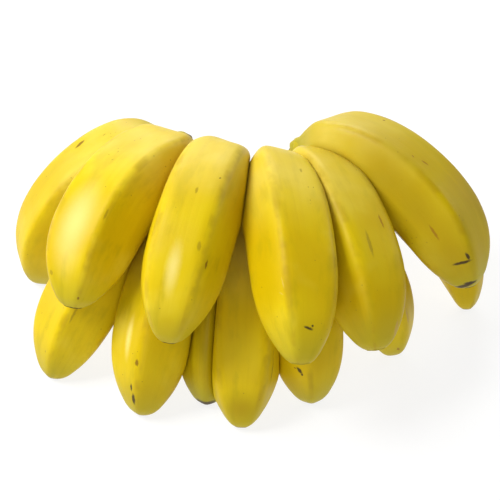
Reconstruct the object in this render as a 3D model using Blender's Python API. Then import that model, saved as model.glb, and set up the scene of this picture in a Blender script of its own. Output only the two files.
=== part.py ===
"""A hand of thirteen apple bananas, standing on its fingertips as it rests on a table.

Metres, Z up, origin on the table under the middle of the hand. The necks grow from one curved
woody crown in two rows, six above seven, and the fingers fan out and bend down towards -Y.
Where two neighbours would run into each other, both skins are pressed flat against a thin gap
halfway between them, as fingers that swell side by side on the plant are.
"""

import math

import bmesh
import bpy
import numpy as np
from mathutils import Matrix

MM = 0.001

# Crown: a pad bent along half an ellipse, seen from above, with its two ends pointing to +Y
CROWN_CENTRE = (-3.0 * MM, 57.9 * MM)
CROWN_HALF_WIDTH = 25 * MM
CROWN_HALF_DEPTH = 17 * MM
CROWN_HEIGHT = 58 * MM
CROWN_HALF_TALL = 15 * MM
CROWN_THICK_END = 8 * MM
CROWN_THICK_MIDDLE = 9 * MM
CROWN_SQUARENESS = 2.6
CROWN_SWEEP = math.radians(104)
CROWN_END_POWER = 5
CROWN_END_ROUNDING = 0.4
THINNEST = 1e-4

# Knuckles: the collars of the crown that carry the necks, sunk this far up or down into the pad
KNUCKLE_SPREAD = 10 * MM
KNUCKLE_ROOT_RADIUS = 8 * MM
KNUCKLE_SIDES = 14
KNUCKLE_RINGS = 5

# Where the neck roots sit: half width and half depth of each row's ellipse, and its height
UPPER_ROW = dict(half_width=31 * MM, half_depth=22 * MM, height=69 * MM, hump=3 * MM)
LOWER_ROW = dict(half_width=32 * MM, half_depth=27 * MM, height=47 * MM, hump=3 * MM)

# Share of the finger's full girth at shares of its length: neck, shoulder, belly, blunt blossom end
GIRTH_PROFILE = (
    (0.00, 0.44),
    (0.04, 0.46),
    (0.08, 0.60),
    (0.13, 0.81),
    (0.19, 0.93),
    (0.28, 0.985),
    (0.38, 1.00),
    (0.50, 1.00),
    (0.62, 0.99),
    (0.73, 0.95),
    (0.82, 0.85),
    (0.89, 0.70),
    (0.94, 0.54),
    (0.97, 0.42),
    (0.99, 0.30),
    (1.00, 0.21),
)
NUB_LENGTH = 1.0 * MM

# Rounded pentagon of the section: a higher sharpness gives flatter faces and sharper ridges.
# It is given at shares of the length, from the neck to the tip
RIDGES = 5
SHARPNESS_PROFILE = ((0.0, 9.0), (0.3, 7.5), (0.7, 7.5), (1.0, 4.5))
TWISTED_BY = 0.2
PENTAGON_MEAN = 1.04

# The bend grows with this power of the length, so it is strongest behind the neck
BEND_NEAR_NECK = 0.6
WIDEST_BEND = math.radians(220)
BEND_HALVINGS = 40
AIM_ROUNDS = 5

# Gaps that stay open between pieces, and how a skin is pressed
SKIN_GAP = 0.9 * MM
NECK_GAP = 0.4 * MM
CROWN_GAP = 1.0 * MM
REACH_OF_PRESS = 50 * MM
DEEPEST_PRESS = 0.2
PRESS_HALVINGS = 14

# Mesh density
SPINE_POINTS = 121
FINGER_SIDES = 20
FINGER_RINGS = 18
CROWN_SIDES = 16
CROWN_RINGS = 22
END_CROWDING = 0.09

SKIN_COLOUR = (0.78, 0.60, 0.07, 1.0)
CROWN_COLOUR = (0.20, 0.13, 0.05, 1.0)


def finger(name, row, root, fan, reach, height, length, girth, lean=0.0, roll=0.0, up=0.0):
    """One finger: root and fan angles round the crown in degrees, the rest in millimetres."""
    return dict(
        name=name,
        row=row,
        root=math.radians(root),
        fan=math.radians(fan),
        reach=reach * MM,
        height=height * MM,
        length=length * MM,
        girth=girth * MM,
        lean=math.radians(lean),
        roll=math.radians(roll),
        up=up * MM,
    )


FINGERS = (
    finger(
        "banana_upper_1", UPPER_ROW, root=-90, fan=-79,
        reach=105.5, height=-0.3, length=114, girth=38, lean=14, up=0, roll=-30,
    ),
    finger(
        "banana_upper_2", UPPER_ROW, root=-52, fan=-41,
        reach=118, height=50, length=108, girth=39, lean=36, up=0, roll=-27,
    ),
    finger(
        "banana_upper_3", UPPER_ROW, root=-14, fan=-16,
        reach=117, height=52, length=114, girth=38, up=0, roll=36,
    ),
    finger(
        "banana_upper_4", UPPER_ROW, root=22, fan=12,
        reach=128, height=51, length=118, girth=38, lean=-14, up=0, roll=18,
    ),
    finger(
        "banana_upper_5", UPPER_ROW, root=54, fan=30,
        reach=123, height=40, length=113, girth=39, lean=-18, up=-4, roll=15,
    ),
    finger(
        "banana_upper_6", UPPER_ROW, root=88, fan=61,
        reach=125, height=36, length=118, girth=40, lean=-24, up=-3, roll=9,
    ),
    finger(
        "banana_lower_1", LOWER_ROW, root=-62, fan=-46.5,
        reach=126, height=0, length=119, girth=36, roll=-19,
    ),
    finger(
        "banana_lower_2", LOWER_ROW, root=-38, fan=-23, reach=120, height=0.4, length=115, girth=37
    ),
    finger(
        "banana_lower_3", LOWER_ROW, root=-14, fan=-9,
        reach=105, height=0.4, length=103, girth=30, up=-4,
    ),
    finger(
        "banana_lower_4", LOWER_ROW, root=8, fan=0,
        reach=118, height=0.1, length=112, girth=36, roll=36,
    ),
    finger(
        "banana_lower_5", LOWER_ROW, root=32, fan=18,
        reach=108, height=0.4, length=106, girth=35, roll=10, up=0,
    ),
    finger(
        "banana_lower_6", LOWER_ROW, root=58, fan=46, reach=103, height=0.3, length=102, girth=32, up=0
    ),
    finger(
        "banana_lower_7", LOWER_ROW, root=88, fan=70,
        reach=121, height=0.6, length=124, girth=28, lean=-75, up=4,
    ),
)


def unit(vectors):
    return vectors / np.linalg.norm(vectors, axis=-1, keepdims=True)


def along_profile(profile, share):
    """A smooth curve through the profile's points."""
    x, y = np.array(profile).T
    slope = np.gradient(y, x)
    i = np.clip(np.searchsorted(x, share, side="right") - 1, 0, len(x) - 2)
    step = x[i + 1] - x[i]
    t = (share - x[i]) / step
    return (
        (1 + 2 * t) * (1 - t) ** 2 * y[i]
        + t * (1 - t) ** 2 * step * slope[i]
        + t * t * (3 - 2 * t) * y[i + 1]
        + t * t * (t - 1) * step * slope[i + 1]
    )


def ridge_share(angle, share):
    """Radius of the rounded pentagon at this angle, about 1 on average."""
    sharpness = along_profile(SHARPNESS_PROFILE, share)
    flats = np.arange(RIDGES) * 2 * np.pi / RIDGES
    facing = np.maximum(np.cos(np.expand_dims(angle, -1) - flats), 0.0)
    total = (facing ** np.expand_dims(sharpness, -1)).sum(-1)
    return total ** (-1 / sharpness) / PENTAGON_MEAN


def arch(out, drop, length):
    """Rise at the neck and total bend, in radians, of an arch this long that ends out and drop away."""
    share = np.linspace(0, 1, SPINE_POINTS)

    def end(rise, bend):
        pitch = rise - bend * share**BEND_NEAR_NECK
        middle = (pitch[1:] + pitch[:-1]) / 2
        return length * np.cos(middle).mean(), length * np.sin(middle).mean()

    chord = math.hypot(out, drop)
    low, high = 0.0, WIDEST_BEND
    for _ in range(BEND_HALVINGS):
        bend = (low + high) / 2
        if math.hypot(*end(0, bend)) > chord:
            low = bend
        else:
            high = bend
    across, climb = end(0, bend)
    return math.atan2(-drop, out) - math.atan2(climb, across), bend


def trace(root, aim, length, lean):
    """Points and directions of an arch from the root towards the aim, turning sideways by the lean."""
    share = np.linspace(0, 1, SPINE_POINTS)
    flat = aim - root
    rise, bend = arch(math.hypot(flat[0], flat[1]), -flat[2], length)
    pitch = rise - bend * share**BEND_NEAR_NECK
    heading = math.atan2(flat[0], -flat[1]) + lean * (share - 0.5)
    direction = np.stack(
        [np.cos(pitch) * np.sin(heading), -np.cos(pitch) * np.cos(heading), np.sin(pitch)], -1
    )
    steps = (direction[1:] + direction[:-1]) / 2 * length / (SPINE_POINTS - 1)
    return root + np.vstack([np.zeros(3), np.cumsum(steps, 0)]), direction


def root_of(f):
    """The middle of the neck's foot, on the crown."""
    row = f["row"]
    return np.array(
        [
            CROWN_CENTRE[0] + row["half_width"] * math.sin(f["root"]),
            CROWN_CENTRE[1] - row["half_depth"] * math.cos(f["root"]),
            row["height"] + row["hump"] * math.cos(f["root"]) + f["up"],
        ]
    )


def finger_tube(f):
    """Middle line, frame and skin radius of one finger before its neighbours press it."""
    root = root_of(f)
    tip = np.array(
        [
            CROWN_CENTRE[0] + f["reach"] * math.sin(f["fan"]),
            CROWN_CENTRE[1] - f["reach"] * math.cos(f["fan"]),
            f["height"],
        ]
    )
    aim = tip
    for _ in range(AIM_ROUNDS):
        points, direction = trace(root, aim, f["length"], f["lean"])
        aim = aim + tip - points[-1]
    side = unit(np.cross(direction, (0.0, 0.0, -1.0)))

    def skin(share, angle):
        girth = f["girth"] / 2 * along_profile(GIRTH_PROFILE, share)
        turned = f["roll"] * np.minimum(share / TWISTED_BY, 1.0)
        return girth * ridge_share(angle - turned, share)

    return dict(
        name=f["name"],
        points=points,
        forward=direction,
        side=side,
        top=unit(np.cross(side, direction)),
        skin=skin,
    )


def crown_tube():
    """Middle line, frame and radius of the crown's pad."""
    share = np.linspace(0, 1, SPINE_POINTS)
    turn = CROWN_SWEEP * (2 * share - 1)
    points = np.stack(
        [
            CROWN_CENTRE[0] + CROWN_HALF_WIDTH * np.sin(turn),
            CROWN_CENTRE[1] - CROWN_HALF_DEPTH * np.cos(turn),
            np.full(SPINE_POINTS, CROWN_HEIGHT),
        ],
        -1,
    )
    forward = unit(np.gradient(points, axis=0))
    top = np.tile((0.0, 0.0, 1.0), (SPINE_POINTS, 1))

    def skin(share, angle):
        middle = np.maximum(np.cos(CROWN_SWEEP * (2 * share - 1)), 0.0)
        thick = CROWN_THICK_END + (CROWN_THICK_MIDDLE - CROWN_THICK_END) * middle
        ends = np.maximum(1 - np.abs(2 * share - 1) ** CROWN_END_POWER, THINNEST) ** CROWN_END_ROUNDING
        tall = np.abs(np.cos(angle) / CROWN_HALF_TALL) ** CROWN_SQUARENESS
        deep = np.abs(np.sin(angle) / thick) ** CROWN_SQUARENESS
        return ends * (tall + deep) ** (-1 / CROWN_SQUARENESS)

    return dict(
        name="crown", points=points, forward=forward, side=np.cross(forward, top), top=top, skin=skin
    )


def knuckle_tube(neck, crown):
    """Middle line, frame and radius of the collar from inside the pad to just short of a neck's foot."""
    forward = neck["forward"][0]
    foot = neck["points"][0] - forward * NECK_GAP
    away = np.linalg.norm(crown["points"][:, :2] - foot[:2], axis=1)
    start = crown["points"][away.argmin()].copy()
    start[2] += np.clip(foot[2] - start[2], -KNUCKLE_SPREAD, KNUCKLE_SPREAD)
    turn = foot - forward * np.linalg.norm(foot - start) / 2
    t = np.linspace(0, 1, SPINE_POINTS)[:, None]
    points = (1 - t) ** 2 * start + 2 * t * (1 - t) * turn + t**2 * foot
    along = unit(np.gradient(points, axis=0))
    side = unit(neck["side"][0] - (along @ neck["side"][0])[:, None] * along)

    def skin(share, angle):
        full = neck["skin"](np.zeros_like(share), angle)
        return KNUCKLE_ROOT_RADIUS + (full - KNUCKLE_ROOT_RADIUS) * share

    return dict(
        name=neck["name"].replace("banana", "knuckle"),
        points=points,
        forward=along,
        side=side,
        top=unit(np.cross(side, along)),
        skin=skin,
    )


def at_share(tube, key, share):
    """The tube's points or vectors at shares of its length."""
    stations = np.linspace(0, 1, SPINE_POINTS)
    return np.stack([np.interp(share, stations, tube[key][:, axis]) for axis in range(3)], -1)


def skin_depth(tube, points):
    """How far each point is outside the tube's skin, negative inside it."""
    away = np.linalg.norm(points[:, None] - tube["points"][None], axis=2)
    nearest = away.argmin(1)
    offset = points - tube["points"][nearest]
    angle = np.arctan2(
        (offset * tube["side"][nearest]).sum(1), (offset * tube["top"][nearest]).sum(1)
    )
    return np.linalg.norm(offset, axis=1) - tube["skin"](nearest / (SPINE_POINTS - 1), angle)


def pressed(middle, outward, radius, others, gap, gives_way):
    """Radii drawn in where a point would come nearer than the gap to another skin.

    They stop at the surface halfway between both skins or, if this piece gives way, at the other skin.
    """
    result = radius.copy()
    for other in others:
        away = np.linalg.norm(middle[:, None] - other["points"][None, ::8], axis=2).min(1)
        crowded = np.flatnonzero(away < REACH_OF_PRESS)
        depth = skin_depth(other, middle[crowded] + outward[crowded] * radius[crowded, None])
        crowded = crowded[depth < gap]
        if not len(crowded):
            continue
        full = radius[crowded]
        low, high = DEEPEST_PRESS * full, full
        for _ in range(PRESS_HALVINGS):
            half = (low + high) / 2
            depth = skin_depth(other, middle[crowded] + outward[crowded] * half[:, None])
            own_depth = 0.0 if gives_way else half - full
            clear = own_depth <= depth - gap
            low = np.where(clear, half, low)
            high = np.where(clear, high, half)
        result[crowded] = np.minimum(result[crowded], low)
    return result


def ring_shares(count):
    """Ring places along a tube, closer together at both ends."""
    even = np.linspace(0, 1, count)
    return even - END_CROWDING * np.sin(2 * np.pi * even)


def tube_rings(tube, others, sides, rings, gap, gives_way=False):
    """Rings of points round the tube, pressed by its neighbours and by the table."""
    share = np.repeat(ring_shares(rings), sides)
    angle = np.tile(np.arange(sides) * 2 * np.pi / sides, rings)
    middle = at_share(tube, "points", share)
    top = unit(at_share(tube, "top", share))
    side = unit(at_share(tube, "side", share))
    outward = np.cos(angle)[:, None] * top + np.sin(angle)[:, None] * side
    radius = pressed(middle, outward, tube["skin"](share, angle), others, gap, gives_way)
    points = middle + outward * radius[:, None]
    points[:, 2] = np.maximum(points[:, 2], 0.0)
    return points.reshape(rings, sides, 3)


def sphere_mesh(name, rings, first, last):
    """A closed mesh from a UV sphere: its poles go to first and last, its rings to the given rings."""
    count, sides = rings.shape[:2]
    mesh = bpy.data.meshes.new(name)
    shape = bmesh.new()
    bmesh.ops.create_uvsphere(shape, u_segments=sides, v_segments=count + 1, radius=1.0)
    for vertex in shape.verts:
        row = round(math.acos(max(-1.0, min(1.0, -vertex.co.z))) / math.pi * (count + 1)) - 1
        column = round(math.atan2(vertex.co.y, vertex.co.x) / (2 * math.pi) * sides) % sides
        if row < 0:
            vertex.co = first
        elif row >= count:
            vertex.co = last
        else:
            vertex.co = rings[row, column]
    shape.to_mesh(mesh)
    shape.free()
    mesh.shade_smooth()
    return mesh


def principled(name, colour, roughness):
    material = bpy.data.materials.new(name)
    material.use_nodes = True
    shader = material.node_tree.nodes["Principled BSDF"]
    shader.inputs["Base Color"].default_value = colour
    shader.inputs["Roughness"].default_value = roughness
    shader.inputs["Metallic"].default_value = 0.0
    return material


def add_piece(mesh, origin, material, collection, parent):
    """An object with its own origin at a point of the hand."""
    mesh.transform(Matrix.Translation([-value for value in origin]))
    mesh.materials.append(material)
    made = bpy.data.objects.new(mesh.name, mesh)
    made.location = origin
    made.parent = parent
    collection.objects.link(made)
    return made


def make_finger(tube, others, material, collection, parent):
    rings = tube_rings(tube, others, FINGER_SIDES, FINGER_RINGS, SKIN_GAP)
    nub = rings[-1].mean(0) + tube["forward"][-1] * NUB_LENGTH
    nub[2] = max(nub[2], 0.0)
    mesh = sphere_mesh(tube["name"], rings, rings[0].mean(0), nub)
    return add_piece(mesh, tube["points"][0], material, collection, parent)


def make_crown(tube, fingers, material, collection, cutters, parent):
    """The pad, with a knuckle joined to it for every neck."""
    rings = tube_rings(tube, fingers, CROWN_SIDES, CROWN_RINGS, CROWN_GAP)
    mesh = sphere_mesh(tube["name"], rings, rings[0].mean(0), rings[-1].mean(0))
    middle = tube["points"][SPINE_POINTS // 2]
    crown = add_piece(mesh, middle, material, collection, parent)
    for neck in fingers:
        collar = knuckle_tube(neck, tube)
        others = [other for other in fingers if other is not neck]
        rings = tube_rings(collar, others, KNUCKLE_SIDES, KNUCKLE_RINGS, CROWN_GAP, gives_way=True)
        mesh = sphere_mesh(collar["name"], rings, rings[0].mean(0), rings[-1].mean(0))
        knuckle = add_piece(mesh, collar["points"][-1], material, cutters, parent)
        knuckle.hide_render = True
        knuckle.display_type = "WIRE"
        # The exact solver loses the whole pad at the last of these joins, and the manifold one keeps it
        join = crown.modifiers.new(knuckle.name, "BOOLEAN")
        join.operation = "UNION"
        join.solver = "MANIFOLD"
        join.object = knuckle
    return crown


def main():
    for leftover in list(bpy.data.objects):
        bpy.data.objects.remove(leftover, do_unlink=True)
    hand = bpy.data.collections.new("hand_of_bananas")
    cutters = bpy.data.collections.new("knuckles")
    for collection in (hand, cutters):
        bpy.context.scene.collection.children.link(collection)
    base = bpy.data.objects.new("hand_on_the_table", None)
    hand.objects.link(base)
    skin = principled("ripe_yellow_skin", SKIN_COLOUR, 0.45)
    wood = principled("woody_crown", CROWN_COLOUR, 0.85)
    fingers = [finger_tube(f) for f in FINGERS]
    crown = crown_tube()
    for tube in fingers:
        neighbours = [other for other in [*fingers, crown] if other is not tube]
        make_finger(tube, neighbours, skin, hand, base)
    make_crown(crown, fingers, wood, hand, cutters, base)


main()
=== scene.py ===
# %% [markdown]
# A hand of apple bananas
#
# Thirteen short, plump fingers grow from one woody crown in two rows, six above seven. They fan
# out, arch over and rest on their blossom ends. This lesson dresses the plain solids of the part:
# every finger gets its five soft ridges, its blunt dry end and its freckled skin, and the crown
# becomes one fibrous cushion that the necks grow out of.
#
# The plain solids are loaded first. Everything made below stands where they stand, in metres,
# with the table at z = 0.

# %% Load the plain solids
import math

import bmesh
import bpy
import numpy as np
from mathutils import Matrix, Vector, noise


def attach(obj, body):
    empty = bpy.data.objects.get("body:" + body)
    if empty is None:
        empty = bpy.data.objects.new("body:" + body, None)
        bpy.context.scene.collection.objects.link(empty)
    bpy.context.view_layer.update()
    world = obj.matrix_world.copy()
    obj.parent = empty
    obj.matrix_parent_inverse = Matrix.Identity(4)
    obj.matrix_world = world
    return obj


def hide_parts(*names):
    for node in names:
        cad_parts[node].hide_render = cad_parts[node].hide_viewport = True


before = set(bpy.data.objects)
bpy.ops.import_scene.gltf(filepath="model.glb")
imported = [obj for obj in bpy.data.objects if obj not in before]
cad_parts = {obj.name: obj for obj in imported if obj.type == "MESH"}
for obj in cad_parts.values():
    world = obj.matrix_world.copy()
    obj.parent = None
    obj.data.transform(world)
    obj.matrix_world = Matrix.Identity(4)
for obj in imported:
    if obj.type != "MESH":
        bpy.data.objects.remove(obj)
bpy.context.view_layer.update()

MM = 0.001

# %% [markdown]
# Camera
#
# The picture looks down on the hand from its front, 42 degrees above the table, from so near
# that the front fingers look larger than the back ones. The camera stays three quarters of a
# metre from the fruit, where a viewer's eyes would be. It is tilted a little further down than
# the fruit's middle, because the hand sits above the middle of the picture.

# %% Place the camera
CROWN_CENTRE = (-3.0 * MM, 57.9 * MM)
LOOK_AT = Vector((CROWN_CENTRE[0] + 4 * MM, CROWN_CENTRE[1] - 12 * MM, 44 * MM))
CAMERA_ELEVATION = math.radians(42)
CAMERA_DISTANCE = 760 * MM
EXTRA_TILT = math.radians(1.73)
LENS_MM = 109.4
SENSOR_MM = 36

camera_data = bpy.data.cameras.new("camera")
camera_data.lens = LENS_MM
camera_data.sensor_width = SENSOR_MM
camera = bpy.data.objects.new("camera", camera_data)
bpy.context.scene.collection.objects.link(camera)
back = Vector((0, -math.cos(CAMERA_ELEVATION), math.sin(CAMERA_ELEVATION)))
camera.location = LOOK_AT + back * CAMERA_DISTANCE
camera.rotation_euler = (math.pi / 2 - CAMERA_ELEVATION - EXTRA_TILT, 0, 0)
bpy.context.scene.camera = camera
print("camera at", [round(value, 4) for value in camera.location])

# %% [markdown]
# The shape of a finger
#
# A finger is a tube along an arch. Its girth swells from a thin neck to a full belly and closes
# bluntly at the blossom end. Its section is a rounded pentagon, as a banana has. The five ridges
# turn round the neck by the finger's own roll, stay crisp along the belly of some fingers and
# fade towards the tip. The arch is found from where the neck leaves the crown, where the tip
# lies and how long the finger is, so no point of it is placed by hand.

# %% The two rows
UPPER_ROW = dict(half_width=31 * MM, half_depth=22 * MM, height=69 * MM, hump=3 * MM)
LOWER_ROW = dict(half_width=32 * MM, half_depth=27 * MM, height=47 * MM, hump=3 * MM)
print("upper row at", UPPER_ROW["height"], "m and lower row at", LOWER_ROW["height"], "m")

# %% Girth and section of a finger
GIRTH_PROFILE = (
    (0.00, 0.44),
    (0.04, 0.46),
    (0.08, 0.60),
    (0.13, 0.81),
    (0.19, 0.93),
    (0.28, 0.985),
    (0.38, 1.00),
    (0.50, 1.00),
    (0.62, 0.99),
    (0.73, 0.95),
    (0.82, 0.85),
    (0.89, 0.70),
    (0.94, 0.54),
    (0.97, 0.42),
    (0.99, 0.30),
    (1.00, 0.21),
)
RIDGES = 5
NECK_SHARPNESS = 9.0
TIP_SHARPNESS = 5.0
BELLY = (0.3, 0.7)
TWISTED_BY = 0.2
PENTAGON_MEAN = 1.04


def along_profile(profile, share):
    """A smooth curve through the profile's points."""
    x, y = np.array(profile).T
    slope = np.gradient(y, x)
    i = np.clip(np.searchsorted(x, share, side="right") - 1, 0, len(x) - 2)
    step = x[i + 1] - x[i]
    t = (share - x[i]) / step
    return (
        (1 + 2 * t) * (1 - t) ** 2 * y[i]
        + t * (1 - t) ** 2 * step * slope[i]
        + t * t * (3 - 2 * t) * y[i + 1]
        + t * t * (t - 1) * step * slope[i + 1]
    )


def ridge_share(angle, share, crisp):
    """Radius of the rounded pentagon at this angle, about 1 on average; crisp is for the belly."""
    belly = ((BELLY[0], crisp), (BELLY[1], crisp))
    profile = ((0.0, NECK_SHARPNESS), *belly, (1.0, TIP_SHARPNESS))
    sharpness = along_profile(profile, share)
    flats = np.arange(RIDGES) * 2 * np.pi / RIDGES
    facing = np.maximum(np.cos(np.expand_dims(angle, -1) - flats), 0.0)
    total = (facing ** np.expand_dims(sharpness, -1)).sum(-1)
    return total ** (-1 / sharpness) / PENTAGON_MEAN


print("a finger is", RIDGES, "sided; thickest at", max(GIRTH_PROFILE, key=lambda row: row[1])[0])


# %% The thirteen fingers
def finger(
    name, row, root, fan, reach, height, length, girth, lean=0.0, roll=0.0, up=0.0, crisp=8.0
):
    """One finger: root, fan, lean and roll in degrees, the rest in millimetres."""
    return dict(
        name=name,
        row=row,
        root=math.radians(root),
        fan=math.radians(fan),
        reach=reach * MM,
        height=height * MM,
        length=length * MM,
        girth=girth * MM,
        lean=math.radians(lean),
        roll=math.radians(roll),
        up=up * MM,
        crisp=crisp,
    )


FINGERS = (
    finger(
        "upper_1", UPPER_ROW, root=-90, fan=-79, reach=105.5, height=-0.3,
        length=114, girth=38, lean=14, roll=-30, crisp=14,
    ),
    finger(
        "upper_2", UPPER_ROW, root=-52, fan=-41, reach=118, height=50,
        length=108, girth=39, lean=36, roll=-27, crisp=15,
    ),
    finger(
        "upper_3", UPPER_ROW, root=-14, fan=-16, reach=117, height=52,
        length=114, girth=38, roll=36,
    ),
    finger(
        "upper_4", UPPER_ROW, root=22, fan=12, reach=128, height=51,
        length=118, girth=38, lean=-14, roll=18, crisp=10,
    ),
    finger(
        "upper_5", UPPER_ROW, root=54, fan=30, reach=123, height=40,
        length=113, girth=39, lean=-18, up=-4, roll=15, crisp=10,
    ),
    finger(
        "upper_6", UPPER_ROW, root=88, fan=61, reach=125, height=36,
        length=118, girth=40, lean=-24, up=-3, roll=18, crisp=15,
    ),
    finger(
        "lower_1", LOWER_ROW, root=-62, fan=-46.5, reach=126, height=0,
        length=119, girth=36, roll=-19, crisp=15,
    ),
    finger(
        "lower_2", LOWER_ROW, root=-38, fan=-23, reach=120, height=0.4,
        length=115, girth=37, crisp=10,
    ),
    finger(
        "lower_3", LOWER_ROW, root=-14, fan=-9, reach=105, height=0.4,
        length=103, girth=30, up=-4,
    ),
    finger(
        "lower_4", LOWER_ROW, root=8, fan=0, reach=118, height=0.1,
        length=112, girth=36, roll=36,
    ),
    finger(
        "lower_5", LOWER_ROW, root=32, fan=18, reach=108, height=0.4,
        length=106, girth=35, roll=10,
    ),
    finger("lower_6", LOWER_ROW, root=58, fan=46, reach=103, height=0.3, length=102, girth=32),
    finger(
        "lower_7", LOWER_ROW, root=88, fan=70, reach=121, height=0.6,
        length=124, girth=28, lean=-75, up=4,
    ),
)
print(len(FINGERS), "fingers")


# %% Find the arch of a finger
BEND_NEAR_NECK = 0.6
WIDEST_BEND = math.radians(220)
SPINE_POINTS = 121
ARCH_HALVINGS = 40


def unit(vectors):
    return vectors / np.linalg.norm(vectors, axis=-1, keepdims=True)


def arch(out, drop, length):
    """Rise at the neck and total bend of an arch this long that ends out and drop away."""
    share = np.linspace(0, 1, SPINE_POINTS)

    def end(rise, bend):
        pitch = rise - bend * share**BEND_NEAR_NECK
        middle = (pitch[1:] + pitch[:-1]) / 2
        return length * np.cos(middle).mean(), length * np.sin(middle).mean()

    low, high = 0.0, WIDEST_BEND
    for _ in range(ARCH_HALVINGS):
        bend = (low + high) / 2
        if math.hypot(*end(0, bend)) > math.hypot(out, drop):
            low = bend
        else:
            high = bend
    across, climb = end(0, bend)
    return math.atan2(-drop, out) - math.atan2(climb, across), bend


def trace(root, aim, length, lean):
    """Points and directions of an arch from root to aim that turns sideways by the lean."""
    share = np.linspace(0, 1, SPINE_POINTS)
    flat = aim - root
    rise, bend = arch(math.hypot(flat[0], flat[1]), -flat[2], length)
    pitch = rise - bend * share**BEND_NEAR_NECK
    heading = math.atan2(flat[0], -flat[1]) + lean * (share - 0.5)
    direction = np.stack(
        [np.cos(pitch) * np.sin(heading), -np.cos(pitch) * np.cos(heading), np.sin(pitch)], -1
    )
    steps = (direction[1:] + direction[:-1]) / 2 * length / (SPINE_POINTS - 1)
    return root + np.vstack([np.zeros(3), np.cumsum(steps, 0)]), direction


bend = arch(90 * MM, 50 * MM, 110 * MM)[1]
print("110 mm of arch, ending 90 mm out and 50 mm down, bend", round(math.degrees(bend)), "degrees")

# %% Lay each finger along its arch
AIM_PASSES = 5


def finger_tube(f):
    """Middle line, frame and skin radius of one finger before its neighbours press it."""
    row = f["row"]
    root = np.array(
        [
            CROWN_CENTRE[0] + row["half_width"] * math.sin(f["root"]),
            CROWN_CENTRE[1] - row["half_depth"] * math.cos(f["root"]),
            row["height"] + row["hump"] * math.cos(f["root"]) + f["up"],
        ]
    )
    tip = np.array(
        [
            CROWN_CENTRE[0] + f["reach"] * math.sin(f["fan"]),
            CROWN_CENTRE[1] - f["reach"] * math.cos(f["fan"]),
            f["height"],
        ]
    )
    aim = tip
    for _ in range(AIM_PASSES):
        points, direction = trace(root, aim, f["length"], f["lean"])
        aim = aim + tip - points[-1]
    side = unit(np.cross(direction, (0.0, 0.0, -1.0)))

    def skin(share, angle):
        girth = f["girth"] / 2 * along_profile(GIRTH_PROFILE, share)
        turned = f["roll"] * np.minimum(share / TWISTED_BY, 1.0)
        return girth * ridge_share(angle - turned, share, f["crisp"])

    top = unit(np.cross(side, direction))
    return dict(f, points=points, forward=direction, side=side, top=top, skin=skin)


tubes = [finger_tube(f) for f in FINGERS]
for tube in tubes:
    print(tube["name"], "tip at", [round(value / MM) for value in tube["points"][-1]], "mm")

# %% [markdown]
# Fingers press each other
#
# Fingers swell side by side on the plant, so they flatten each other where they touch. Here each
# skin is drawn in to the surface halfway between itself and its neighbour. The edge of such a
# flat is then rounded over, because real skin doesn't crease there. The gap is what the press
# aims at and not a measure: in places the finished skins still cross a little.

# %% Press the skins
TOUCH_GAP = 0.15 * MM
REACH_OF_PRESS = 50 * MM
DEEPEST_PRESS = 0.2
COARSE_STEP = 12
PRESS_HALVINGS = 14


def skin_depth(tube, points):
    """How far each point is outside the tube's skin, negative inside it."""
    line = tube["points"]
    away = (line**2).sum(1) - 2 * points @ line.T
    nearest = away.argmin(1)
    offset = points - line[nearest]
    angle = np.arctan2(
        (offset * tube["side"][nearest]).sum(1), (offset * tube["top"][nearest]).sum(1)
    )
    return np.linalg.norm(offset, axis=1) - tube["skin"](nearest / (SPINE_POINTS - 1), angle)


def pressed(middle, outward, radius, others, gap):
    """Radii drawn in to the surface halfway to each skin that this one would run into."""
    result = radius.copy()
    for other in others:
        away = np.linalg.norm(middle[:, None] - other["points"][None, ::COARSE_STEP], axis=2).min(1)
        crowded = np.flatnonzero(away < REACH_OF_PRESS)
        depth = skin_depth(other, middle[crowded] + outward[crowded] * radius[crowded, None])
        crowded = crowded[depth < gap]
        if not len(crowded):
            continue
        full = radius[crowded]
        low, high = DEEPEST_PRESS * full, full
        for _ in range(PRESS_HALVINGS):
            half = (low + high) / 2
            depth = skin_depth(other, middle[crowded] + outward[crowded] * half[:, None])
            clear = half - full <= depth - gap
            low = np.where(clear, half, low)
            high = np.where(clear, high, half)
        result[crowded] = np.minimum(result[crowded], low)
    return result


print("the press aims at a gap of", round(TOUCH_GAP / MM, 2), "mm")

# %% Soften the edges of the flats
ROUNDING_PASSES = 4


def rounded_over(ratio):
    """Draws the skin in a little round each pressed flat, so that its edge is soft."""
    soft = ratio
    for _ in range(ROUNDING_PASSES):
        soft = (np.roll(soft, 1, 1) + 2 * soft + np.roll(soft, -1, 1)) / 4
        soft[1:-1] = (soft[:-2] + 2 * soft[1:-1] + soft[2:]) / 4
    return np.minimum(ratio, soft)


print("edges of the flats are rounded over in", ROUNDING_PASSES, "passes")


# %% [markdown]
# A finger's mesh
#
# Each finger is a grid of rings. Rings stand closer together at both ends, where the shape
# changes fast. Behind the neck's foot the tube goes on into the crown and narrows there, so
# that neither a gap nor a corner shows. At the other end the skin turns in over a short rim,
# and the dry remains of the flower stand in it as a small rough nub. Slow waves of a few tenths
# of a millimetre keep the skin from looking turned on a lathe.
#
# Four facts are kept for every point, because the skin's colours need them: how far along the
# finger it lies, how near a ridge, how dry the blossom end is there, and a grain direction that
# runs along the finger.

# %% Rings, grids and facts
END_CROWDING = 0.09


def ring_shares(count):
    """Ring places along a tube, closer together at both ends."""
    even = np.linspace(0, 1, count)
    return even - END_CROWDING * np.sin(2 * np.pi * even)


def at_share(tube, key, share):
    """The tube's points or vectors at shares of its length."""
    stations = np.linspace(0, 1, SPINE_POINTS)
    return np.stack([np.interp(share, stations, tube[key][:, axis]) for axis in range(3)], -1)


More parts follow.
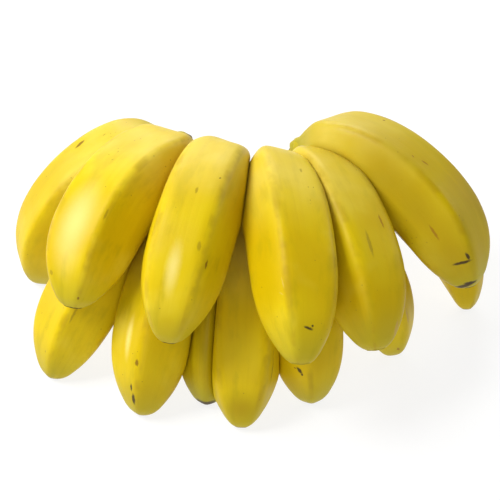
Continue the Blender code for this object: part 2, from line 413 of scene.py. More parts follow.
def grid_mesh(name, rings, last):
    """A closed mesh over rings of points, with a flat start and its end closed to one point."""
    count, sides = rings.shape[:2]
    first = rings[0].mean(0)
    points = np.vstack([rings.reshape(-1, 3), first, last])
    faces = []
    for ring in range(count - 1):
        for i in range(sides):
            j = (i + 1) % sides
            here, ahead = ring * sides, (ring + 1) * sides
            faces.append((here + i, here + j, ahead + j, ahead + i))
    for i in range(sides):
        j = (i + 1) % sides
        faces.append((j, i, count * sides))
        faces.append(((count - 1) * sides + i, (count - 1) * sides + j, count * sides + 1))
    mesh = bpy.data.meshes.new(name)
    mesh.from_pydata(points.tolist(), [], faces)
    mesh.shade_smooth()
    return mesh


def keep_fact(mesh, name, values):
    """Stores one number, or one vector, for each point of the mesh."""
    kind = "FLOAT" if values.ndim == 1 else "FLOAT_VECTOR"
    layer = mesh.attributes.new(name, kind, "POINT")
    key = "value" if values.ndim == 1 else "vector"
    layer.data.foreach_set(key, values.astype(np.float32).ravel())


print("ten rings stand at", [round(share, 2) for share in ring_shares(10)])


# %% One finger from its tube
SIDES = 90
RINGS = 120
# How far behind the foot, and how wide there, as a share of the foot.
NECK_SINK = ((5 * MM, 0.30), (2 * MM, 0.70))
# Width as a share of the end, and how far out in millimetres.
NUB_RINGS = ((0.93, 0.14), (0.80, 0.22), (0.70, 0.05), (0.60, 0.15), (0.45, 0.50), (0.20, 0.65))
NUB_POINT = 0.1
WAVE_HEIGHT = 0.35 * MM
WAVE_PER_METRE = 38
GRAIN_PER_METRE = 60


def finger_mesh(tube, others):
    share = np.repeat(ring_shares(RINGS), SIDES)
    angle = np.tile(np.arange(SIDES) * 2 * np.pi / SIDES, RINGS)
    middle = at_share(tube, "points", share)
    top = unit(at_share(tube, "top", share))
    side = unit(at_share(tube, "side", share))
    outward = np.cos(angle)[:, None] * top + np.sin(angle)[:, None] * side
    full = tube["skin"](share, angle)
    places = middle + outward * full[:, None]
    wave = np.array([noise.noise(Vector(place) * WAVE_PER_METRE) for place in places])
    full = full + WAVE_HEIGHT * wave * np.sin(np.pi * share) ** 0.5
    ratio = pressed(middle, outward, full, others, TOUCH_GAP) / full
    ratio = rounded_over(ratio.reshape(RINGS, SIDES)).ravel()
    rings = (middle + outward * (full * ratio)[:, None]).reshape(RINGS, SIDES, 3)

    forward = tube["forward"]
    foot = rings[0].mean(0)
    sunk = [
        foot + (rings[0] - foot) * width - forward[0] * depth for depth, width in NECK_SINK
    ]
    end = rings[-1].mean(0)
    nub = [end + (rings[-1] - end) * width + forward[-1] * out * MM for width, out in NUB_RINGS]
    tip = end + forward[-1] * (NUB_RINGS[-1][1] + NUB_POINT) * MM
    rings = np.array([*sunk, *rings, *nub])
    rings[:, :, 2] = np.maximum(rings[:, :, 2], 0.0)
    tip[2] = max(tip[2], 0.0)
    mesh = grid_mesh(tube["name"] + "_skin", rings, tip)

    before, after = len(sunk), len(nub)
    ring_share = np.concatenate([np.zeros(before), ring_shares(RINGS), np.ones(after)])
    ring_dry = np.concatenate([np.zeros(before + RINGS), np.ones(after)])
    round_angle = np.arange(SIDES) * 2 * np.pi / SIDES
    along = np.append(np.repeat(ring_share, SIDES), [0, 1])
    dry = np.append(np.repeat(ring_dry, SIDES), [0, 1])
    turn = np.append(np.tile(round_angle, len(rings)), [0, 0])
    turned = tube["roll"] * np.minimum(along / TWISTED_BY, 1.0)
    ridge = 0.5 - 0.5 * np.cos(RIDGES * (turn - turned))
    grain = np.stack(
        [np.cos(turn), np.sin(turn), along * tube["length"] * GRAIN_PER_METRE], -1
    )
    keep_fact(mesh, "along", along)
    keep_fact(mesh, "dry", dry)
    keep_fact(mesh, "ridge", ridge)
    keep_fact(mesh, "grain", grain)
    return mesh


print("a finger has", SIDES * (RINGS + len(NECK_SINK) + len(NUB_RINGS)), "points in its rings")

# %% Build all thirteen
finger_pieces = {}
for tube in tubes:
    others = [other for other in tubes if other is not tube]
    mesh = finger_mesh(tube, others)
    piece = bpy.data.objects.new(tube["name"] + "_skin", mesh)
    bpy.context.scene.collection.objects.link(piece)
    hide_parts("banana_" + tube["name"])
    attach(piece, "root")
    finger_pieces[tube["name"]] = piece
print("finger meshes:", sum(len(piece.data.polygons) for piece in finger_pieces.values()), "faces")

# %% [markdown]
# The crown
#
# The crown is the cushion of tough fibre that held the hand on the stalk. Here it is a pad bent
# along half an ellipse, with a collar for each neck, and all of it is melted into one skin by a
# voxel remesh and smoothing. The collars are round and a little wider than the necks at their
# feet. They reach a little way over the necks and thin out there, so that each neck looks grown
# into the cushion. One fact is kept for the colour: the crown's outside and its collars are
# still skin, and only the cut face inside its curve is bare fibre.

# %% The pad of the crown
CROWN_HALF_WIDTH = 25 * MM
CROWN_HALF_DEPTH = 17 * MM
CROWN_HEIGHT = 58 * MM
CROWN_HALF_TALL = 15 * MM
CROWN_THICK_END = 8 * MM
CROWN_THICK_MIDDLE = 9 * MM
CROWN_SQUARENESS = 2.6
CROWN_SWEEP = math.radians(104)
PAD_SIDES, PAD_RINGS = 40, 60


def crown_tube():
    """Middle line, frame and radius of the crown's pad."""
    share = np.linspace(0, 1, SPINE_POINTS)
    turn = CROWN_SWEEP * (2 * share - 1)
    points = np.stack(
        [
            CROWN_CENTRE[0] + CROWN_HALF_WIDTH * np.sin(turn),
            CROWN_CENTRE[1] - CROWN_HALF_DEPTH * np.cos(turn),
            np.full(SPINE_POINTS, CROWN_HEIGHT),
        ],
        -1,
    )
    forward = unit(np.gradient(points, axis=0))
    top = np.tile((0.0, 0.0, 1.0), (SPINE_POINTS, 1))

    def skin(share, angle):
        middle = np.maximum(np.cos(CROWN_SWEEP * (2 * share - 1)), 0.0)
        thick = CROWN_THICK_END + (CROWN_THICK_MIDDLE - CROWN_THICK_END) * middle
        ends = np.maximum(1 - np.abs(2 * share - 1) ** 5, 1e-4) ** 0.4
        tall = np.abs(np.cos(angle) / CROWN_HALF_TALL) ** CROWN_SQUARENESS
        deep = np.abs(np.sin(angle) / thick) ** CROWN_SQUARENESS
        return ends * (tall + deep) ** (-1 / CROWN_SQUARENESS)

    return dict(points=points, forward=forward, side=np.cross(forward, top), top=top, skin=skin)


def plain_rings(tube, sides, rings, radius):
    """Rings round a tube with a radius from a function of share and angle."""
    share = np.repeat(ring_shares(rings), sides)
    angle = np.tile(np.arange(sides) * 2 * np.pi / sides, rings)
    outward = (
        np.cos(angle)[:, None] * unit(at_share(tube, "top", share))
        + np.sin(angle)[:, None] * unit(at_share(tube, "side", share))
    )
    points = at_share(tube, "points", share) + outward * radius(share, angle)[:, None]
    return points.reshape(rings, sides, 3)


pad = crown_tube()
pad_rings = plain_rings(pad, PAD_SIDES, PAD_RINGS, pad["skin"])
print("the pad is", round(np.ptp(pad_rings[..., 0]) / MM), "mm wide")

# %% A collar for each neck
KNUCKLE_SPREAD = 10 * MM
KNUCKLE_ROOT_RADIUS = 8 * MM
COLLAR_REACH = 10 * MM
COLLAR_SWELL = 1.06
COLLAR_LIP = 0.90
COLLAR_SIDES, COLLAR_STEPS, LIP_STEPS = 32, 12, 8


def collar_rings(neck, pad):
    """The collar of one neck: out of the pad to the neck's foot, and thinning out over it."""
    forward = neck["forward"][0]
    foot = neck["points"][0]
    away = np.linalg.norm(pad["points"][:, :2] - foot[:2], axis=1)
    start = pad["points"][away.argmin()].copy()
    start[2] += np.clip(foot[2] - start[2], -KNUCKLE_SPREAD, KNUCKLE_SPREAD)
    turn = foot - forward * np.linalg.norm(foot - start) / 2
    t = np.linspace(0, 1, COLLAR_STEPS)[:, None]
    line = (1 - t) ** 2 * start + 2 * t * (1 - t) * turn + t**2 * foot
    reach = COLLAR_REACH / neck["length"]
    over = np.linspace(0, reach, LIP_STEPS + 1)[1:]
    line = np.vstack([line, at_share(neck, "points", over)])
    along = unit(np.gradient(line, axis=0))
    side = unit(neck["side"][0] - (along @ neck["side"][0])[:, None] * along)
    top = unit(np.cross(side, along))
    angle = np.arange(COLLAR_SIDES) * 2 * np.pi / COLLAR_SIDES
    rings = []
    for i, place in enumerate(line):
        share = 0.0 if i < COLLAR_STEPS else over[i - COLLAR_STEPS]
        full = neck["skin"](np.full(COLLAR_SIDES, share), angle)
        widest = full.max() * COLLAR_SWELL
        if i < COLLAR_STEPS:
            growth = (widest - KNUCKLE_ROOT_RADIUS) * i / (COLLAR_STEPS - 1)
            radius = np.full(COLLAR_SIDES, KNUCKLE_ROOT_RADIUS + growth)
        else:
            thinned = math.sin(share / reach * math.pi / 2)
            radius = widest * (1 - thinned) + full * COLLAR_LIP * thinned
        outward = np.cos(angle)[:, None] * top[i] + np.sin(angle)[:, None] * side[i]
        rings.append(place + outward * radius[:, None])
    return np.array(rings)


parts = [grid_mesh("pad", pad_rings, pad_rings[-1].mean(0))]
for neck in tubes:
    rings = collar_rings(neck, pad)
    parts.append(grid_mesh("collar", rings, rings[-1].mean(0)))
print("crown parts:", len(parts))

# %% Melt the crown together
VOXEL = 0.9 * MM
SOFTEN_FACTOR, SOFTEN_PASSES = 0.6, 5

joined = bmesh.new()
for mesh in parts:
    joined.from_mesh(mesh)
    bpy.data.meshes.remove(mesh)
crown_mesh = bpy.data.meshes.new("crown_cushion")
joined.to_mesh(crown_mesh)
joined.free()
crown_piece = bpy.data.objects.new("crown_cushion", crown_mesh)
bpy.context.scene.collection.objects.link(crown_piece)
remesh = crown_piece.modifiers.new("melt together", "REMESH")
remesh.mode = "VOXEL"
remesh.voxel_size = VOXEL
soften = crown_piece.modifiers.new("soften", "SMOOTH")
soften.factor = SOFTEN_FACTOR
soften.iterations = SOFTEN_PASSES
bpy.context.view_layer.update()
graph = bpy.context.evaluated_depsgraph_get()
melted = bpy.data.meshes.new_from_object(crown_piece.evaluated_get(graph))
crown_piece.modifiers.clear()
crown_piece.data = melted
melted.shade_smooth()

print("crown:", len(melted.polygons), "faces")

# %% Where the crown is still skin
NECK_NEAR, NECK_NEAR_FADE = 14 * MM, 3 * MM
SKIN_BEHIND, SKIN_BEHIND_FADE = 7 * MM, 8 * MM
OUTSIDE_FROM, OUTSIDE_FADE = 1.05, 0.25

crown_points = np.empty(len(melted.vertices) * 3, np.float32)
melted.vertices.foreach_get("co", crown_points)
crown_points = crown_points.reshape(-1, 3).astype(float)
grown = np.zeros(len(crown_points))
for neck in tubes:
    offset = crown_points - neck["points"][0]
    ahead = offset @ neck["forward"][0]
    beside = np.linalg.norm(offset - ahead[:, None] * neck["forward"][0], axis=1)
    near = np.clip((NECK_NEAR - beside) / NECK_NEAR_FADE, 0, 1)
    grown = np.maximum(grown, near * np.clip((ahead + SKIN_BEHIND) / SKIN_BEHIND_FADE, 0, 1))
out_x = (crown_points[:, 0] - CROWN_CENTRE[0]) / CROWN_HALF_WIDTH
out_y = (crown_points[:, 1] - CROWN_CENTRE[1]) / CROWN_HALF_DEPTH
outside = np.clip((np.hypot(out_x, out_y) - OUTSIDE_FROM) / OUTSIDE_FADE, 0, 1)
grown = np.maximum(grown, outside)
keep_fact(melted, "grown", grown)
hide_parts("crown")
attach(crown_piece, "root")
print("still skin:", round(grown.mean(), 2), "of the crown")


# %% [markdown]
# Tools for materials
#
# Ripe apple banana skin is a deep golden yellow with a soft wax sheen. A picture could be wrapped
# round each finger, but here every colour is worked out by nodes, from the facts kept on the
# mesh and from noise in the object's own space, so it has no seams and stays sharp from near by.
# These small helpers keep such node trees short.

# %% Helpers for node materials
def new_material(name):
    material = bpy.data.materials.new(name)
    material.use_nodes = True
    tree = material.node_tree
    return material, tree, tree.nodes["Principled BSDF"]


def put(tree, kind, settings=None, **inputs):
    """Adds a node, sets its properties and its inputs; an input may be another node's output."""
    node = tree.nodes.new(kind)
    for key, value in (settings or {}).items():
        setattr(node, key, value)
    for key, value in inputs.items():
        by_number = key[0] == "i" and key[1:].isdigit()
        socket = node.inputs[int(key[1:]) if by_number else key]
        if isinstance(value, bpy.types.NodeSocket):
            tree.links.new(value, socket)
        else:
            socket.default_value = value
    return node


def fact(tree, name, vector=False):
    node = put(tree, "ShaderNodeAttribute", dict(attribute_name=name))
    return node.outputs["Vector" if vector else "Fac"]


def math_node(tree, operation, a, b):
    return put(tree, "ShaderNodeMath", dict(operation=operation), i0=a, i1=b).outputs[0]


def ramp(tree, value, low, high, start=0.0, end=1.0):
    """Smooth step of a value between low and high, to start and end."""
    settings = dict(interpolation_type="SMOOTHSTEP")
    node = put(tree, "ShaderNodeMapRange", settings, i0=value, i1=low, i2=high, i3=start, i4=end)
    return node.outputs[0]


def mix(tree, factor, first, second):
    node = tree.nodes.new("ShaderNodeMix")
    node.data_type = "RGBA"
    factor_socket, first_socket, second_socket = (node.inputs[i] for i in (0, 6, 7))
    for socket, value in (
        (factor_socket, factor),
        (first_socket, first),
        (second_socket, second),
    ):
        if isinstance(value, bpy.types.NodeSocket):
            tree.links.new(value, socket)
        else:
            socket.default_value = value
    return node.outputs[2]


def noise_node(tree, place, scale, detail=3.0, roughness=0.5):
    values = dict(Vector=place, Scale=scale, Detail=detail, Roughness=roughness)
    return put(tree, "ShaderNodeTexNoise", None, **values).outputs["Fac"]


def vector_math(tree, operation, *vectors):
    """A vector sum node; its inputs are given in their order."""
    values = {"i%d" % number: vector for number, vector in enumerate(vectors)}
    return put(tree, "ShaderNodeVectorMath", dict(operation=operation), **values)


def scaled(tree, vector, factors):
    return vector_math(tree, "MULTIPLY", vector, factors).outputs[0]


print("helpers for node materials ready")


# %% [markdown]
# Scars and spots
#
# A few scars, smudges and dark specks make this hand its own. A few broad soft patches are
# painted light and shade: painted highlights of pale cream on faces turned to the lamps, and
# painted shade of deeper gold on faces turned away or lying under other fingers. Each one is
# given by its finger, how far along and how far round the finger it sits (in degrees), its length
# and width in millimetres, and how it leans. Where it lies in space is read off the finished
# mesh. Every mark is a flattened ball that colours the skin inside it: a scar reaches just under
# the skin, a soft patch deeper, as it is so much longer that the finger bends away below it.

# %% List the scars
MARKS = (
    ("upper_1", 0.350, 204, 6.5, 2.4, 10, "brown"),
    ("upper_1", 0.515, 200, 1.3, 1.0, 0, "olive"),
    ("upper_1", 0.255, 190, 2.0, 0.9, 30, "olive"),
    ("upper_2", 0.395, 196, 1.3, 0.8, 20, "olive"),
    ("upper_2", 0.410, 203, 0.9, 0.9, 0, "olive"),
    ("upper_2", 0.372, 200, 0.8, 0.6, 0, "olive"),
    ("upper_2", 0.425, 194, 1.0, 0.7, -30, "olive"),
    ("upper_2", 0.879, 214, 2.6, 2.0, 0, "olive"),
    ("upper_2", 0.946, 154, 1.8, 1.2, 0, "brown"),
    ("upper_2", 0.620, 152, 6.0, 1.2, 0, "olive"),
    # painted highlight on the lit left face of upper_2
    ("upper_2", 0.700, 186, 56.0, 20.0, 0, "cream"),
    ("upper_3", 0.406, 154, 1.2, 0.9, 0, "brown"),
    ("upper_3", 0.699, 134, 4.5, 1.3, 0, "brown"),
    ("upper_3", 0.650, 150, 5.0, 2.0, 10, "olive"),
    ("upper_3", 0.470, 178, 4.0, 1.5, 0, "olive"),
    # painted highlight on the lit side of upper_3
    ("upper_3", 0.730, 181, 28.0, 8.0, 0, "cream"),
    ("upper_4", 0.766, 208, 3.0, 0.6, 60, "pale"),
    ("upper_4", 0.730, 204, 5.5, 0.8, 10, "pale"),
    ("upper_4", 0.874, 166, 5.0, 1.5, 68, "black"),
    ("upper_4", 0.866, 160, 1.6, 1.1, 30, "black"),
    ("upper_4", 0.300, 150, 3.0, 1.5, 0, "olive"),
    ("upper_5", 0.552, 140, 8.0, 1.3, 0, "orange"),
    ("upper_5", 0.226, 122, 3.0, 1.0, 20, "olive"),
    ("upper_5", 0.840, 122, 15.0, 2.2, 0, "rubbed"),
    ("upper_5", 0.930, 132, 9.0, 2.0, 10, "rubbed"),
    ("upper_5", 0.620, 172, 14.0, 2.0, 0, "olive"),
    # deep: painted shade on the lower face of upper_6, turned away from the lamps
    ("upper_6", 0.450, 226, 50.0, 26.0, 0, "deep"),
    ("upper_6", 0.640, 232, 46.0, 28.0, 0, "deep"),
    ("upper_6", 0.820, 222, 44.0, 26.0, 0, "deep"),
    ("upper_6", 0.314, 140, 1.6, 1.2, 0, "brown"),
    ("upper_6", 0.515, 176, 4.5, 1.4, 15, "orange"),
    ("upper_6", 0.480, 182, 2.2, 1.0, -20, "orange"),
    ("upper_6", 0.866, 218, 10.0, 1.9, 88, "black"),
    ("upper_6", 0.852, 203, 5.0, 1.8, 8, "black"),
    ("upper_6", 0.982, 252, 4.0, 15.0, 0, "black"),
    ("upper_6", 0.968, 212, 3.0, 7.0, 0, "black"),
    ("upper_6", 0.720, 232, 9.0, 1.4, 0, "orange"),
    ("lower_1", 0.700, 150, 12.0, 1.4, 0, "olive"),
    ("lower_1", 0.880, 178, 1.4, 1.0, 0, "olive"),
    # painted highlight on the lit left side of lower_2
    ("lower_2", 0.700, 210, 24.0, 5.0, 0, "cream"),
    ("lower_2", 0.774, 184, 3.4, 2.2, 0, "brown"),
    ("lower_2", 0.868, 190, 4.5, 1.2, 0, "black"),
    ("lower_2", 0.915, 189, 7.5, 2.2, 0, "black"),
    ("lower_3", 0.985, 180, 7.0, 12.0, 0, "black"),
    # deep: painted shade at the lower end of lower_4, under the upper row
    ("lower_4", 0.900, 180, 22.0, 22.0, 0, "deep"),
    ("lower_4", 0.749, 124, 13.0, 0.7, 4, "brown"),
    ("lower_4", 0.700, 130, 8.0, 0.6, -6, "olive"),
    ("lower_5", 0.812, 210, 4.2, 2.0, 30, "black"),
    ("lower_5", 0.830, 204, 1.5, 1.2, 0, "black"),
    ("lower_5", 0.800, 216, 1.4, 0.8, 60, "brown"),
    ("lower_6", 0.935, 198, 3.0, 1.5, 20, "orange"),
    ("lower_6", 0.780, 170, 10.0, 1.6, 0, "rubbed"),
)
print(len(MARKS), "scars and spots")

# %% Their colours and their places on the skin
# A colour, and how much of it covers the peel.
MARK_COLOURS = {
    "brown": ((0.20, 0.095, 0.008, 1), 0.85),
    "olive": ((0.27, 0.18, 0.008, 1), 0.55),
    "orange": ((0.30, 0.12, 0.008, 1), 0.70),
    "rubbed": ((0.50, 0.30, 0.10, 1), 0.55),
    "pale": ((0.66, 0.52, 0.12, 1), 0.40),
    # painted highlight: pale cream where the lamps light a face
    "cream": ((0.80, 0.66, 0.19, 1), 0.80),
    # deep: painted shade, a darker gold where a face is turned from the lamps
    "deep": ((0.40, 0.27, 0.001, 1), 0.75),
    "black": ((0.045, 0.026, 0.012, 1), 0.92),
}
# the soft kinds are the painted highlight patches and the painted shade patches (deep)
SOFT_KINDS = ("cream", "deep")
MARK_DEPTH = 6 * MM
SOFT_DEPTH = 14 * MM


def mark_frame(piece, share, angle, lean):
    """A point of the skin by share and angle, and the turn whose Y runs along the finger."""
    before = len(NECK_SINK)
    ring = before + int(np.abs(ring_shares(RINGS) - share).argmin())
    side = round(math.radians(angle) / (2 * math.pi) * SIDES) % SIDES
    skin = piece.data.vertices
    point = skin[ring * SIDES + side].co
    ahead = skin[(ring + 1) * SIDES + side].co - skin[(ring - 1) * SIDES + side].co
    across = skin[ring * SIDES + (side + 1) % SIDES].co - point
    normal = across.cross(ahead).normalized()
    ahead.normalize()
    across = ahead.cross(normal)
    turn = Matrix((across, ahead, normal)).transposed()
    leant = turn @ Matrix.Rotation(math.radians(lean), 3, "Z")
    return point.copy(), leant.to_euler()


marks_of = {name: [] for name in finger_pieces}
for name, share, angle, length, width, lean, kind in MARKS:
    point, turn = mark_frame(finger_pieces[name], share, angle, lean)
    depth = SOFT_DEPTH if kind in SOFT_KINDS else MARK_DEPTH
    marks_of[name].append((point, turn, (width / 2 * MM, length / 2 * MM, depth), kind))
print("marks on each finger:", [len(marks) for marks in marks_of.values()])

# %% [markdown]
# The peel's colours
#
# The peel is golden yellow, paler and creamier here and there, with faint olive clouds and fine
# streaks along the finger. Painted sheen, a pale cream, lies on the top of the shoulders, where
# the lamps' sheen falls. Neck and tip are a little greener. The ridges are rubbed to a slightly
# darker line, broken in places. The scars come on top, with ragged edges, and the blossom end is
# dry, on some fingers nearly black. A soft sheen lies over everything.

# %% Colours of the peel
GOLD = (0.66, 0.487, 0.003, 1)
DEEP_GOLD = (0.60, 0.412, 0.001, 1)
CREAM = (0.72, 0.565, 0.040, 1)
# the pale cream of the painted sheen on the shoulders
SHEEN_CREAM = (0.76, 0.60, 0.11, 1)
OLIVE = (0.45, 0.335, 0.003, 1)
GREENISH = (0.38, 0.33, 0.010, 1)
RIDGE_BROWN = (0.38, 0.24, 0.008, 1)
FRECKLE = (0.18, 0.10, 0.010, 1)
DRY = (0.022, 0.014, 0.008, 1)


def shaded_by(colour, shading):
    """A colour times the finger's painted shading: below one painted shade, above one painted
    light.
    """
    return tuple(part * shading for part in colour[:3]) + (1,)


print("gold a tenth darker:", [round(part, 3) for part in shaded_by(GOLD, 0.9)])

# %% Lay the scars over a colour
MARK_EDGE = (0.55, 1.15)


def add_marks(tree, colour, ragged_place, marks):
    """Lays the scars over a colour and returns it with the darkest of their strengths."""
    deepest = 0.0
    for point, turn, size, kind in marks:
        values = dict(i0=ragged_place, i1=point, i2=turn, i3=size)
        local = put(tree, "ShaderNodeMapping", dict(vector_type="TEXTURE"), **values)
        away = vector_math(tree, "LENGTH", local.outputs[0]).outputs["Value"]
        tint, strength = MARK_COLOURS[kind]
        # painted highlight and painted shade patches fade out from their middle and dent no bump
        soft = kind in SOFT_KINDS
        inside = ramp(tree, away, 0.0 if soft else MARK_EDGE[0], MARK_EDGE[1], strength, 0.0)
        colour = mix(tree, inside, colour, tint)
        if soft:
            continue
        deepest = inside if deepest == 0.0 else math_node(tree, "MAXIMUM", deepest, inside)
    return colour, deepest


print("a scar fades from", MARK_EDGE[0], "to", MARK_EDGE[1], "of its size")

# %% The material of a finger's skin
STREAK_STRENGTH = 0.40
CLOUD_STRENGTH = 0.50
SHEEN_STRENGTH = 0.50
RIDGE_STRENGTH = 0.42
FRECKLE_STRENGTH = 0.75
FRECKLES_PER_METRE = 420
SEED_SHIFT = 0.37
RAGGED = 0.9 * MM
BUMP_HEIGHT = 0.2 * MM


def skin_material(name, seed, green, shading, dryness, marks):
    material, tree, shader = new_material(name)
    place = put(tree, "ShaderNodeTexCoord").outputs["Object"]
    moved = vector_math(tree, "ADD", place, (seed, SEED_SHIFT * seed, 0)).outputs[0]
    along = fact(tree, "along")
    ridge = fact(tree, "ridge")
    dry = fact(tree, "dry")
    grain = fact(tree, "grain", vector=True)

    broad = noise_node(tree, moved, 26, 2)
    colour = mix(tree, ramp(tree, broad, 0.35, 0.65), shaded_by(GOLD, shading), shaded_by(DEEP_GOLD, shading))
    pale = noise_node(tree, scaled(tree, moved, (1, 1, 0.7)), 45, 3)
    colour = mix(tree, ramp(tree, pale, 0.52, 0.72, 0.0, 0.45), colour, shaded_by(CREAM, shading))
    streaks = noise_node(tree, scaled(tree, grain, (9, 9, 0.35)), 1.0, 3)
    colour = mix(tree, ramp(tree, streaks, 0.45, 0.75, 0.0, STREAK_STRENGTH), colour, DEEP_GOLD)
    clouds = noise_node(tree, scaled(tree, grain, (2.2, 2.2, 0.9)), 1.0, 5, 0.6)
    colour = mix(tree, ramp(tree, clouds, 0.48, 0.70, 0.0, CLOUD_STRENGTH), colour, OLIVE)

    # Painted sheen: pale cream on the top side of each shoulder, where the lamps' sheen falls.
    outer = put(tree, "ShaderNodeSeparateXYZ", None, i0=grain).outputs[0]
    patchy = ramp(tree, pale, 0.25, 0.65, 0.35, 1.0)
    painted_sheen = math_node(tree, "MULTIPLY", ramp(tree, outer, 0.0, -0.9), patchy)
    painted_sheen = math_node(tree, "MULTIPLY", painted_sheen, ramp(tree, along, 0.32, 0.58, 1.0, 0.0))
    painted_sheen = math_node(tree, "MULTIPLY", painted_sheen, SHEEN_STRENGTH)
    colour = mix(tree, painted_sheen, colour, shaded_by(SHEEN_CREAM, shading))

    neck_green = ramp(tree, along, 0.02, 0.20, 0.70, 0.0)
    tip_green = ramp(tree, along, 0.80, 1.0, 0.0, 0.60)
    green_amount = math_node(tree, "MAXIMUM", neck_green, tip_green)
    green_amount = math_node(tree, "MULTIPLY", green_amount, green)
    colour = mix(tree, green_amount, colour, GREENISH)

    line = ramp(tree, ridge, 0.90, 1.0)
    broken = ramp(tree, noise_node(tree, moved, 90, 3), 0.42, 0.66)
    line = math_node(tree, "MULTIPLY", line, broken)
    colour = mix(tree, math_node(tree, "MULTIPLY", line, RIDGE_STRENGTH), colour, RIDGE_BROWN)

    cells = put(tree, "ShaderNodeTexVoronoi", None, Vector=moved, Scale=FRECKLES_PER_METRE)
    dot = ramp(tree, cells.outputs["Distance"], 0.05, 0.16, 1.0, 0.0)
    chosen = put(tree, "ShaderNodeSeparateColor", None, i0=cells.outputs["Color"]).outputs[0]
    cluster = ramp(tree, noise_node(tree, moved, 34, 2), 0.46, 0.74)
    some = math_node(tree, "LESS_THAN", chosen, math_node(tree, "MULTIPLY", cluster, 0.5))
    dot = math_node(tree, "MULTIPLY", dot, some)
    colour = mix(tree, math_node(tree, "MULTIPLY", dot, FRECKLE_STRENGTH), colour, FRECKLE)

    wobble = put(tree, "ShaderNodeTexNoise", None, Vector=place, Scale=700.0, Detail=2.0)
    wobble = vector_math(tree, "SUBTRACT", wobble.outputs["Color"], (0.5, 0.5, 0.5)).outputs[0]
    ragged_place = vector_math(tree, "MULTIPLY_ADD", wobble, (RAGGED,) * 3, place).outputs[0]
    colour, scarred = add_marks(tree, colour, ragged_place, marks)

    uneven = math_node(tree, "MULTIPLY", noise_node(tree, moved, 420, 2), 0.012)
    ragged = math_node(tree, "ADD", along, uneven)
    rim = math_node(tree, "MAXIMUM", dry, ramp(tree, ragged, 1.0005, 1.0045))
    colour = mix(tree, math_node(tree, "MULTIPLY", rim, dryness), colour, DRY)
    tree.links.new(colour, shader.inputs["Base Color"])

    wax = noise_node(tree, moved, 60, 3)
    rough = ramp(tree, wax, 0.3, 0.7, 0.38, 0.48)
    rough = math_node(tree, "MAXIMUM", rough, math_node(tree, "MULTIPLY", rim, 0.85))
    tree.links.new(rough, shader.inputs["Roughness"])

    fibre = noise_node(tree, scaled(tree, grain, (14, 14, 0.5)), 1.0, 4)
    pores = noise_node(tree, moved, 900, 2)
    dents = noise_node(tree, moved, 150, 2)
    height = math_node(tree, "ADD", fibre, math_node(tree, "MULTIPLY", pores, 0.35))
    height = math_node(tree, "ADD", height, math_node(tree, "MULTIPLY", dents, 0.6))
    if marks:
        height = math_node(tree, "SUBTRACT", height, scarred)
    bump = put(tree, "ShaderNodeBump", None, Strength=0.35, Distance=BUMP_HEIGHT, Height=height)
    tree.links.new(bump.outputs[0], shader.inputs["Normal"])

    shader.inputs["Subsurface Weight"].default_value = 0.10
    shader.inputs["Subsurface Radius"].default_value = (1.0, 0.6, 0.15)
    shader.inputs["Subsurface Scale"].default_value = 0.002
    shader.inputs["Specular IOR Level"].default_value = 0.12
    return material


print("skin material ready")

# %% Give every finger its skin
GREEN_OF = {"lower_3": 1.6, "lower_7": 0.5, "lower_5": 1.2, "upper_6": 1.2}
# Painted shade and light for each finger: below one a finger is darkened as painted shade, as
# upper_6 at the right and lower_3 deep between its neighbours, and above one it is lightened as
# painted light.
SHADING_OF = {
    "upper_1": 0.94,
    "upper_2": 1.04,
    "upper_5": 0.95,
    "upper_6": 0.84,
    "lower_2": 0.95,
    "lower_3": 0.66,
    "lower_4": 1.02,
    "lower_5": 0.96,
}
DRYNESS_OF = {
    "upper_1": 0.9,
    "upper_2": 1.0,
    "upper_3": 1.0,
    "upper_4": 0.25,
    "upper_5": 0.25,
    "upper_6": 1.0,
    "lower_3": 1.0,
}
USUAL_DRYNESS = 0.55
SEED_STEP = 0.31
for number, (name, piece) in enumerate(finger_pieces.items()):
    look = (GREEN_OF.get(name, 1.0), SHADING_OF.get(name, 1.0), DRYNESS_OF.get(name, USUAL_DRYNESS))
    peel = skin_material(name + "_peel", SEED_STEP * number, *look, marks_of[name])
    piece.data.materials.append(peel)
print(len(finger_pieces), "skin materials")

# %% [markdown]
# Crown material
#
# Inside its curve the crown was cut from the stalk, and the cut dries to a dark, stringy brown.
# On its outside and round the necks it is still skin, so the colour runs over to the neck's
# greenish yellow with the fact kept on the mesh, along a ragged edge.

# %% Crown fibre
WOOD_DARK = (0.045, 0.026, 0.012, 1)
WOOD_LIGHT = (0.19, 0.115, 0.045, 1)
NECK_SKIN = (0.46, 0.37, 0.008, 1)
FIBRE_HEIGHT = 0.6 * MM

material, tree, shader = new_material("crown_fibre")
place = put(tree, "ShaderNodeTexCoord").outputs["Object"]
grown_fact = fact(tree, "grown")
strands = noise_node(tree, scaled(tree, place, (420, 420, 90)), 1.0, 4, 0.6)
colour = mix(tree, ramp(tree, strands, 0.38, 0.62), WOOD_DARK, WOOD_LIGHT)
uneven = math_node(tree, "MULTIPLY", noise_node(tree, place, 160, 3), 0.6)
edge = math_node(tree, "ADD", grown_fact, uneven)
skin_part = ramp(tree, edge, 0.75, 1.25)
colour = mix(tree, skin_part, colour, NECK_SKIN)
tree.links.new(colour, shader.inputs["Base Color"])
tree.links.new(ramp(tree, skin_part, 0.0, 1.0, 0.8, 0.5), shader.inputs["Roughness"])
bump = put(tree, "ShaderNodeBump", None, Strength=0.6, Distance=FIBRE_HEIGHT, Height=strands)
shader.inputs["Specular IOR Level"].default_value = 0.15
tree.links.new(bump.outputs[0], shader.inputs["Normal"])
melted.materials.clear()
melted.materials.append(material)
print("crown material ready")

# %% [markdown]
# Table and light
#
# The hand lies on a plain white table, as in a small photo studio. The main light comes from a
# window high on the left. Softer light comes back from the wall behind, from both sides and
# from the front, and the white surroundings fill what shadow is left. A table that gives off a
# little light of its own stays white without burning out the fruit.

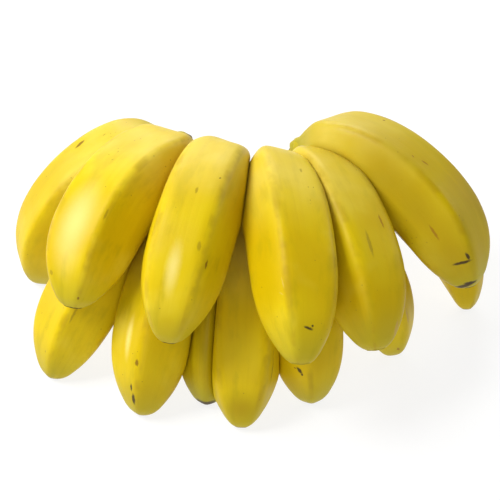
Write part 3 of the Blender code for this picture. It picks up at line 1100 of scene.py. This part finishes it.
# %% Set the table
FLOOR_SIZE = 6.0
FLOOR_BELOW = 0.2 * MM
FLOOR_GLOW = 0.82
floor_mesh = bpy.data.meshes.new("table_top")
half = FLOOR_SIZE / 2
corners = [(-half, -half, 0), (half, -half, 0), (half, half, 0), (-half, half, 0)]
floor_mesh.from_pydata(corners, [], [(0, 1, 2, 3)])
floor = bpy.data.objects.new("table_top", floor_mesh)
floor.location.z = -FLOOR_BELOW
bpy.context.scene.collection.objects.link(floor)
white, tree, shader = new_material("white_table")
shader.inputs["Base Color"].default_value = (0.2, 0.2, 0.2, 1)
shader.inputs["Roughness"].default_value = 0.7
shader.inputs["Specular IOR Level"].default_value = 0.1
shader.inputs["Emission Color"].default_value = (1, 1, 1, 1)
shader.inputs["Emission Strength"].default_value = FLOOR_GLOW
floor_mesh.materials.append(white)
print("table top", FLOOR_SIZE, "m wide")

# %% Set the lights
LIT_MIDDLE = Vector((0, 0, 45 * MM))
SURROUNDINGS = 0.24


def soft_light(name, place, size, power):
    """A soft rectangular light that faces the hand."""
    data = bpy.data.lights.new(name, "AREA")
    data.shape = "RECTANGLE"
    data.size, data.size_y = size
    data.energy = power
    light = bpy.data.objects.new(name, data)
    light.location = place
    light.rotation_euler = (LIT_MIDDLE - Vector(place)).to_track_quat("-Z", "Y").to_euler()
    bpy.context.scene.collection.objects.link(light)


soft_light("window", (-0.60, -0.05, 0.85), (0.4, 0.4), 9.0)
soft_light("back_wall", (-0.10, 1.00, 0.55), (0.8, 0.4), 6.5)
soft_light("left_wall", (-1.00, 0.25, 0.30), (0.6, 0.4), 3.4)
soft_light("front_fill", (-0.10, -1.10, 0.55), (1.0, 0.8), 4.2)
soft_light("right_wall", (1.00, 0.45, 0.45), (0.6, 0.4), 2.4)
world = bpy.data.worlds.new("studio")
world.use_nodes = True
background = world.node_tree.nodes["Background"]
background.inputs["Color"].default_value = (1, 1, 1, 1)
background.inputs["Strength"].default_value = SURROUNDINGS
bpy.context.scene.world = world
bpy.context.scene.view_settings.view_transform = "Standard"
print("light set")
